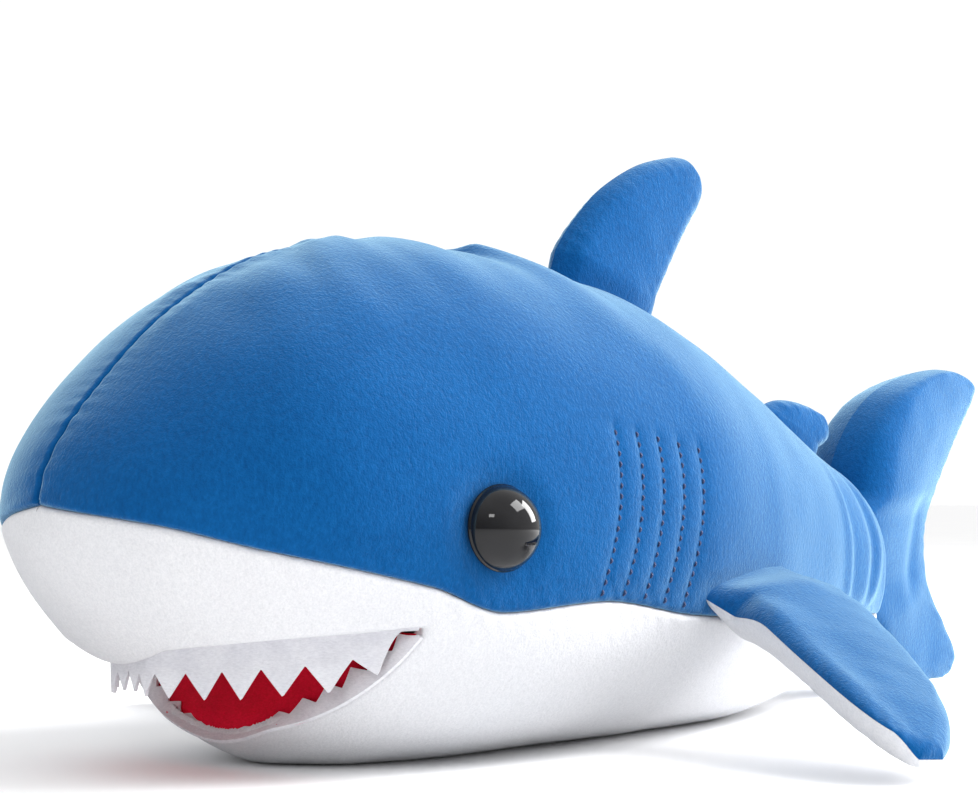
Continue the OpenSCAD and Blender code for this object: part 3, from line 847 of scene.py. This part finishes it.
def palate_cloth():
    y = mix(UPPER_START + 2, MOUTH_BACK + 0.5, np.linspace(0, 1, 60) ** 1.4)
    s = s_of(y)
    edge = lining_edge(s, upper_lip_z(y), 2.6)[:, 0]
    across = np.linspace(-1, 1, 61)
    depth_share = np.clip((y - UPPER_LIP_FRONT) / (MOUTH_BACK - UPPER_LIP_FRONT), 0, 1)
    arch = PALATE_ARCH * np.sin(math.pi * depth_share)
    edge = edge * strip_share(y)
    z = upper_lip_z(y)[:, None] + arch[:, None] * (1 - across[None] ** 2) + 0.4
    under = np.stack([edge[:, None] * across[None], np.repeat(y[:, None], 61, 1), z], -1)
    under[..., 2] += 0.35 * cloud(under, 14)
    return under, under + [0, 0, 1.2]


def tongue_cloth():
    y = mix(LOWER_START + 1.5, MOUTH_BACK + 0.5, np.linspace(0, 1, 50) ** 1.2)
    s = s_of(y)
    edge = lining_edge(s, lower_lip_z(y), 4.5)[:, 0]
    across = np.linspace(-1, 1, 61)
    dip = 1 - ease(y, LOWER_START, LOWER_START + 5)
    floor = skin(s[:, None], mix(lower_lip_angle(s)[:, None], math.pi, 1 - np.abs(across[None])))[..., 2]
    flat = lower_lip_z(y)[:, None] + 1.2 * ease(y, 80, 90)[:, None] * (1 - across[None] ** 2)
    z = mix(flat, floor + 1.5, dip[:, None])
    over = np.stack([edge[:, None] * across[None], np.repeat(y[:, None], 61, 1), z], -1)
    over[..., 2] += 0.35 * cloud(over, 14)
    return over, over - [0, 0.6, 1.2]


# ---- felt teeth ----
UPPER_DEPTH = [(0, 13.5), (0.25, 16), (0.42, 19.5), (0.57, 21), (0.8, 20.5), (0.904, 15),
               (0.955, 0.8), (1, 0.4)]
UPPER_TEETH = [(0, 0), (0.463, 0.4375), (0.904, 0.9375), (0.955, 1), (1, 1)]
EVEN_TEETH = [(0, 0), (1, 1)]
LOWER_DEPTH = [(0, 5), (0.3, 6.5), (0.55, 9), (0.8, 10), (0.93, 7), (1, 1)]
LOWER_LIFT = 16


def read_along(points, share):
    return np.interp(share, [p[0] for p in points], [p[1] for p in points])


def tooth_strip(path, down, across, depths, places, band, start):
    """A zigzag felt strip along a path; down is the way its teeth point, across its thickness."""
    aside = np.abs(np.linspace(-1, 1, len(path)))
    saw = np.abs((read_along(places, aside) * TEETH_EACH_SIDE) % 1 - 0.5) * 2
    depth = read_along(depths, aside)
    cut = depth * mix(band * (1 - 0.6 * ease(aside, 0.85, 1)), 1, 1 - saw)
    rows = np.linspace(0, 1, 12)
    reach = mix(start, cut[None], rows[:, None])
    wave = 0.5 * cloud(path * [1, 1, 0], 18) * rows[:, None] ** 2
    outer = path[None] + reach[..., None] * down + wave[..., None] * across
    return outer, outer + across * FELT


def towards_middle(path, v):
    """Turns each vector of v towards the middle of the mouth."""
    middle = np.array([0, MOUTH_BACK, CORNER_Z]) - path
    return v * np.sign((v * middle).sum(-1, keepdims=True))


def upper_strip():
    """Hangs straight down from the turned-in lip."""
    path = set_in(lip_path(upper_lip_z, UPPER_START))
    inward = unit(np.cross(np.gradient(path, axis=0), [0, 0, 1]))
    inward = towards_middle(path, inward)
    down = np.array([0, 0, -1.0]) + 0.04 * inward
    return tooth_strip(path - 0.3 * inward, down, inward, UPPER_DEPTH, UPPER_TEETH, 0.5, -2.5)


def lower_strip():
    """Lies over the steep front of the tongue, pointing in from the lip."""
    path = lip_path(lower_lip_z, LOWER_START, follow=True)
    y = path[:, 1]
    climb = (lower_lip_z(y + 0.5) - lower_lip_z(y - 0.5)).clip(0.6, 2.4)
    off = unit(np.stack([0 * y, -climb, 1 + 0 * y], -1))
    over = towards_middle(path, unit(np.cross(np.gradient(path, axis=0), off)))
    tilt = math.radians(LOWER_LIFT)
    way = over * math.cos(tilt) + off * math.sin(tilt)
    return tooth_strip(path + over - 0.5 * off, way, off, LOWER_DEPTH, EVEN_TEETH, 0.45, -1.5)


def mouth_pieces():
    palate = shell("palate_cloth", *palate_cloth())
    dress(palate, RED, "red_lining", "palate_lining")
    tongue = shell("tongue_cloth", *tongue_cloth())
    dress(tongue, RED, "red_lining", "tongue_lining")
    upper = shell("upper_teeth_felt", *upper_strip())
    dress(upper, FELT_WHITE, "white_felt", "upper_teeth")
    lower = shell("lower_teeth_felt", *lower_strip())
    dress(lower, FELT_WHITE, "white_felt", "lower_teeth")
    for piece in (palate, tongue, upper, lower):
        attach(piece, "body")


# ---- eyes ----
def eye_piece(side):
    """A turned dome with a thin rim, on its shank."""
    apex, axis, radius = EYES[side]
    ball = (radius**2 + EYE_DOME**2) / (2 * EYE_DOME)
    turn = np.linspace(0, math.asin(radius / ball), 36)
    profile = [(ball * math.sin(t), EYE_DOME - ball * (1 - math.cos(t))) for t in turn]
    rim = [(radius + 0.35, -0.25), (radius + 0.45, -0.8), (radius + 0.1, -1.4), (radius - 1.5, -1.9),
           (4, -2.1), (3, -3), (3, -14.4), (2.6, -15), (0, -15)]
    profile = np.array(profile[:-1] + [(radius - 0.1, 0.15)] + rim)
    across = unit(np.cross(axis, [0, 0, 1]))
    over = np.cross(axis, across)
    around = np.linspace(0, 2 * math.pi, 72, endpoint=False)
    spoke = across * np.cos(around)[:, None] + over * np.sin(around)[:, None]
    points = eye_seat(side) + profile[:, None, :1] * spoke[None] + profile[:, None, 1:] * axis
    piece = make_mesh(f"eye_dome_{side}", points.reshape(-1, 3), grid_faces(len(profile), 72, wrap=True))
    dress(piece, EYE, "black_eye", f"eye_{side}")
    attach(piece, "body")


# ---- gill stitching ----
STITCH = 2.7
STITCH_PITCH = 4.1
THREAD = 0.5


def gill_piece(side, sign):
    """Separate stitches along the five rows, each dipping into the fabric at both ends."""
    parts = []
    for row in range(GILL_ROWS):
        t = np.linspace(0, 1, 400)
        y, z = gill_line(row, t)
        s = s_of(y)
        above = np.arccos(np.clip((z - middle_z(s)) / (top_z(s) - middle_z(s)), 0, 1))
        a = np.where(z < middle_z(s), angle_at(s, z), above)
        base = skin(s, a) * [sign, 1, 1]
        normal = skin_normal(s, a) * [sign, 1, 1]
        lift = blue_relief(base) * ease(distance(SEWN, base), 0, 12) + 0.35
        line = base + normal * lift[:, None]
        along = np.concatenate([[0], np.cumsum(np.linalg.norm(np.diff(line, axis=0), axis=1))])
        for first in np.arange(0.5, along[-1] - STITCH, STITCH_PITCH):
            share = np.linspace(0, 1, 7)
            at = first + STITCH * share
            points = np.stack([np.interp(at, along, line[:, i]) for i in range(3)], -1)
            out = np.stack([np.interp(at, along, normal[:, i]) for i in range(3)], -1)
            bow = 1.3 * np.sin(math.pi * share) - 1.0
            points = points + out * bow[:, None]
            parts.append(tube(points, THREAD * np.sqrt(np.sin(math.pi * mix(0.08, 0.92, share)))))
    piece = make_mesh(f"gill_thread_{side}", *gathered(parts))
    dress(piece, NAVY, "navy_thread", f"gill_stitches_{side}")
    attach(piece, "body")


# ---- fins: outlines are (outward, rearward) from the front of the root ----
PECTORAL_FRONT = [(0, -2), (16, -8), (46, -20), (78, -31), (98, -34), (109, -28)]
PECTORAL_REAR = [(0, 72), (22, 66), (62, 43), (88, 20), (103, 0), (111, -16)]
DORSAL_FRONT = [(0, 0), (14, 5), (36, 17), (57, 36), (71, 56), (75, 65)]
DORSAL_REAR = [(0, 66), (8, 67), (28, 72), (45, 77), (61, 82), (70, 78)]
SECOND_FRONT = [(0, 0), (8, 10), (13, 21), (16, 33), (16.5, 43)]
SECOND_REAR = [(0, 50), (5, 55), (9, 56.5), (12.5, 54.5), (15.5, 50)]
TAIL_FRONT = [(4, 104), (5, 72), (14, 38), (28, 14), (46, 1), (78, 1), (104, 3),
              (128, 15), (148, 37), (160, 67), (166, 102), (163, 127)]
TAIL_REAR = [(6, 112), (16, 118), (34, 106), (52, 93), (70, 89), (86, 91), (104, 101),
             (122, 114), (138, 127), (150, 137), (157, 140), (161, 135)]


def outline(points, t):
    """A Catmull-Rom curve through the points, read by a share from 0 to 1."""
    p = np.array(points, float)
    n = len(p) - 1
    x = np.minimum(np.asarray(t, float) * n, n - 1e-4)
    i = np.floor(x).astype(int)
    f = (x - i)[..., None]
    a, b, c, d = p[np.maximum(i - 1, 0)], p[i], p[i + 1], p[np.minimum(i + 2, n)]
    return 0.5 * (2 * b + (c - a) * f + (2 * a - 5 * b + 4 * c - d) * f**2
                  + (3 * b - a - 3 * c + d) * f**3)


def fin_grid(front, rear, fill, side, lift=0, rows=70, cols=60):
    """(skin, middle) grids in the fin's own frame: x through it, y along it, z outward."""
    t = np.concatenate([np.linspace(0, 0.8, rows - 22), mix(0.8, 1, spread(22, 0.5)[1:])])[:, None]
    u = spread(cols, 0.92)[None]
    start, end = outline(front, t + 0 * u), outline(rear, t + 0 * u)
    p = mix(start, end, u[..., None])
    chord = np.linalg.norm(end - start, axis=-1)
    inside = np.minimum(u, 1 - u) * chord
    inside = np.minimum(inside, (1 - t) * 75)
    round_edge = np.sqrt(np.clip(1 - (1 - np.clip(inside / 9, 0, 1)) ** 2, 0, 1))
    belly = 2.3 + fill * (1 - 0.78 * t**1.4) * (4 * u * (1 - u)) ** 0.45
    place = np.stack([p[..., 1], p[..., 0], 0 * chord], -1) + [300 * fill, 90, 40]
    pucker = 0.5 * np.exp(-inside / 6) * ripple(p[..., 0] + 0.7 * p[..., 1], 8, 0.3 * fill)
    lumps = 0.7 * cloud(place, 30) + 0.35 * cloud(place, 13)
    h = np.maximum(round_edge * (belly + lumps + pucker), 0)
    tuck = rolled(inside, TUCK)
    h = np.maximum(h - 0.3 * tuck, 0.05)
    middle_u = mix(0.012, 0.988, u)
    core = mix(start, end, middle_u[..., None])
    raised = lift * np.clip(1 - u / 0.4, 0, 1) ** 2 * ease(t, 0, 0.25) * (1 - ease(t, 0.8, 1))
    outer = np.stack([side * h - raised, p[..., 1], p[..., 0]], -1)
    middle = np.stack([side * 0.04 - raised + 0 * h, core[..., 1], core[..., 0]], -1)
    return outer, middle


def with_root(outer, middle, root, rows=14):
    """Adds rows that carry the fin's edge at the hinge line on into the body at root."""
    w = np.linspace(0, 1, rows + 1)[1:][::-1, None, None]
    neck = w * w * (3 - 2 * w)
    low = mix(outer[0][None], root[None], w)
    low[..., 0] = mix(outer[0][None, :, 0], root[None, :, 0], neck[..., 0])
    core = low * [0.02, 1, 1]
    return np.concatenate([low, outer]), np.concatenate([core, middle])


def placed(grid, origin, x_axis, y_axis, z_axis):
    return origin + grid[..., :1] * x_axis + grid[..., 1:2] * y_axis + grid[..., 2:] * z_axis


def hinge_of(joint):
    """A joint's place in millimetres with the nose at y = 0."""
    return np.array(JOINTS[joint]["pos_m"]) / MM - [0, NOSE_Y / MM, 0]


def back_fin(name, joint, front, rear, fill, nodes):
    hinge = hinge_of(joint)
    rearward = np.array(JOINTS[joint]["axis"], float)
    upward = np.array([0, -rearward[2], rearward[1]])
    for side, node, label in ((1, nodes[0], "left"), (-1, nodes[1], "right")):
        outer, middle = fin_grid(front, rear, fill, side)
        ring = outer[0]
        at = hinge + ring[:, 1:2] * rearward
        y = at[:, 1]
        x = 0.75 * ring[:, 0]
        s = s_of(y)
        z = middle_z(s) + (top_z(s) - middle_z(s)) * np.sqrt(1 - (x / half_width(s)) ** 2)
        depth = ((z - 2.5) - at[:, 2]) / upward[2]
        root = np.stack([x, ring[:, 1], depth], -1)
        grids = with_root(outer, middle, root)
        grids = [placed(g, hinge, np.array([1.0, 0, 0]), rearward, upward) for g in grids]
        piece = shell(f"{name}_plush_{label}", *grids)
        stuffing = [f"{name}_stuffing"] if side > 0 else []
        dress(piece, BLUE, "blue_plush", node, *stuffing)
        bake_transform(piece)


def pectoral_fin(label, sign):
    hinge = hinge_of(f"pectoral_{label}_flap")
    outward = np.array([sign * math.cos(PECTORAL_DROOP), 0, -math.sin(PECTORAL_DROOP)])
    under = np.array([-sign * math.sin(PECTORAL_DROOP), 0, -math.cos(PECTORAL_DROOP)])
    covers = ((-1, "top", BLUE, "blue_plush"), (1, "bottom", WHITE, "white_plush"))
    for side, cover, look, slot_name in covers:
        outer, middle = fin_grid(PECTORAL_FRONT, PECTORAL_REAR, PECTORAL_FILL, side, PECTORAL_LIFT)
        ring = outer[0]
        y = hinge[1] + ring[:, 1]
        s = s_of(y)
        reach = np.full(len(y), 14.0)
        for _ in range(6):
            z = hinge[2] + reach * math.sin(PECTORAL_DROOP)
            flank = skin(s, angle_at(s, z))[:, 0]
            reach = (abs(hinge[0]) - flank) / math.cos(PECTORAL_DROOP)
        root = np.stack([0.55 * ring[:, 0], ring[:, 1], -(reach + 4)], -1)
        grids = with_root(outer, middle, root)
        grids = [placed(g, hinge, under, np.array([0, 1.0, 0]), outward) for g in grids]
        piece = shell(f"pectoral_{label}_{cover}_plush", *grids)
        stuffing = [f"pectoral_{label}_stuffing"] if side > 0 else []
        dress(piece, look, slot_name, f"pectoral_{label}_{cover}", *stuffing)
        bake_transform(piece)


# ---- tail ----
TAIL_ROOT = 22


def tail_grid(side, rows=120, cols=70):
    t = spread(rows, 0.6)[:, None]
    u = spread(cols, 0.9)[None]
    start, end = outline(TAIL_FRONT, t + 0 * u), outline(TAIL_REAR, t + 0 * u)
    begin = hinge_of("tail_swing")[1] - TAIL_FILL
    tucked_in = TAIL_ROOT * ease(start[..., 0], 30, 46) * (1 - ease(start[..., 0], 84, 102))
    front, rear = begin + start[..., 1] - tucked_in, begin + end[..., 1]
    y = mix(front, rear, u)
    z = mix(start[..., 0], end[..., 0], u)
    fullness = np.sin(math.pi * t) ** 1.3
    full = 1 + (TAIL_FILL - FABRIC - 1.3) * fullness
    lead = np.minimum(full, (rear - front) / 2)
    d = front + lead - y
    nose = np.sqrt(np.clip(1 - (d / lead) ** 2, 0, 1))
    fall = np.clip(1 - np.clip(-d / (rear - front - lead), 0, 1) ** 1.4, 0, 1) ** 0.9
    h = full * np.where(d > 0, nose, fall)
    inside = np.minimum(np.minimum(y - front, rear - y), np.minimum(t, 1 - t) * 190)
    round_edge = np.sqrt(np.clip(1 - (1 - np.clip(inside / 7, 0, 1)) ** 2, 0, 1))
    place = np.stack([y, z, 0 * y], -1) + [0, 0, 600 + 100 * side]
    pucker = 0.55 * np.exp(-inside / 7) * ripple(z + 0.4 * y, 9, 0.8)
    lumps = 0.9 * cloud(place, 36) + 0.4 * cloud(place, 15)
    off_crease = y - begin - 62 - 0.25 * (z - 70)
    crease = -1.6 * np.exp(-((off_crease / 8) ** 2)) * (1 - ease(np.abs(z - 74), 14, 34))
    h = np.maximum(round_edge * (h + 1.6 + lumps + pucker + crease), 0.05)
    core_y = mix(front, rear, mix(0.012, 0.988, u))
    core_z = mix(start[..., 0], end[..., 0], mix(0.012, 0.988, u))
    outer = np.stack([side * h, y, z], -1)
    middle = np.stack([side * 0.04 + 0 * h, core_y, core_z], -1)
    return outer, middle


def tail_pieces():
    for side, label in ((1, "left"), (-1, "right")):
        piece = shell(f"tail_plush_{label}", *tail_grid(side))
        stuffing = ["tail_stuffing"] if side > 0 else []
        dress(piece, BLUE, "blue_plush", f"tail_{label}", *stuffing)
        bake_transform(piece)


# ---- stage: floor, light and camera ----
def floor_piece():
    data = bpy.data.meshes.new("floor")
    size, low = 30, cad_low.z - 0.0004
    corners = [(-size, -size, low), (size, -size, low), (size, size, low), (-size, size, low)]
    data.from_pydata(corners, [], [(0, 1, 2, 3)])
    floor = bpy.data.objects.new("floor", data)
    bpy.context.scene.collection.objects.link(floor)
    look, nodes, links, shader = material("pale_floor")
    place = nodes.new("ShaderNodeTexCoord").outputs["Object"]
    mottle = noise(nodes, links, place, 6, 3.0)
    links.new(ramp(nodes, links, mottle, [(0.3, (0.94, 0.94, 0.95)), (0.7, (0.97, 0.97, 0.97))]),
              shader.inputs["Base Color"])
    shader.inputs["Roughness"].default_value = 0.8
    data.materials.append(look)


def softbox(name, place, aim, size, power, colour=(1, 1, 1)):
    data = bpy.data.lights.new(name, "AREA")
    data.shape = "RECTANGLE"
    data.size, data.size_y = size
    data.energy = power
    data.color = colour
    light = bpy.data.objects.new(name, data)
    light.location = place
    light.rotation_mode = "QUATERNION"
    light.rotation_quaternion = (Vector(aim) - Vector(place)).to_track_quat("-Z", "Y")
    bpy.context.scene.collection.objects.link(light)


def studio():
    world = bpy.data.worlds.new("studio")
    world.use_nodes = True
    sky = world.node_tree.nodes["Background"]
    sky.inputs["Color"].default_value = (1.0, 1.0, 1.0, 1)
    nodes, links = world.node_tree.nodes, world.node_tree.links
    lean = nodes.new("ShaderNodeVectorMath")
    lean.operation = "DOT_PRODUCT"
    lean.inputs[1].default_value = (0, 1, 0.9)
    links.new(nodes.new("ShaderNodeTexCoord").outputs["Generated"], lean.inputs[0])
    fall = nodes.new("ShaderNodeMapRange")
    for socket, value in (("From Min", -0.9), ("From Max", 0.35), ("To Min", 0.36), ("To Max", 1.06)):
        fall.inputs[socket].default_value = value
    links.new(lean.outputs["Value"], fall.inputs["Value"])
    links.new(fall.outputs["Result"], sky.inputs["Strength"])
    bpy.context.scene.world = world
    bpy.context.scene.view_settings.view_transform = "Standard"
    middle = (0, -0.05, 0.1)
    softbox("key", (1.2, 0.7, 1.7), middle, (1.1, 0.8), 30)
    softbox("rim", (0.9, 1.7, 1.1), middle, (0.8, 1.4), 62)
    softbox("fill", (0.9, -1.8, 1.3), middle, (0.5, 0.3), 5)


CAMERA_AZIMUTH = math.radians(44)
CAMERA_ELEVATION = math.radians(-2.7)
CAMERA_DISTANCE = 0.9
CAMERA_LENS = 79.8
CAMERA_AIM = Vector((0, -0.077, 0.140))


def camera():
    data = bpy.data.cameras.new("camera")
    data.sensor_width = 36
    data.lens = CAMERA_LENS
    eye = bpy.data.objects.new("camera", data)
    level = math.cos(CAMERA_ELEVATION)
    back = Vector((math.sin(CAMERA_AZIMUTH) * level, -math.cos(CAMERA_AZIMUTH) * level,
                   math.sin(CAMERA_ELEVATION)))
    eye.location = CAMERA_AIM + back * CAMERA_DISTANCE
    eye.rotation_mode = "QUATERNION"
    eye.rotation_quaternion = (-back).to_track_quat("-Z", "Y")
    bpy.context.scene.collection.objects.link(eye)
    bpy.context.scene.camera = eye


camera()
studio()
floor_piece()
body_pieces()
mouth_pieces()
for eye_side, eye_sign in (("left", 1), ("right", -1)):
    eye_piece(eye_side)
    gill_piece(eye_side, eye_sign)
    pectoral_fin(eye_side, eye_sign)
back_fin("dorsal", "dorsal_lean", DORSAL_FRONT, DORSAL_REAR, DORSAL_FILL,
         ("dorsal_left", "dorsal_right"))
back_fin("second_dorsal", "second_dorsal_lean", SECOND_FRONT, SECOND_REAR,
         SECOND_FILL, ("second_dorsal_left", "second_dorsal_right"))
tail_pieces()
for washer in ("eye_washer_left", "eye_washer_right"):
    node = frame["nodes"][washer]
    node.data.materials.clear()
    node.data.materials.append(WASHER)
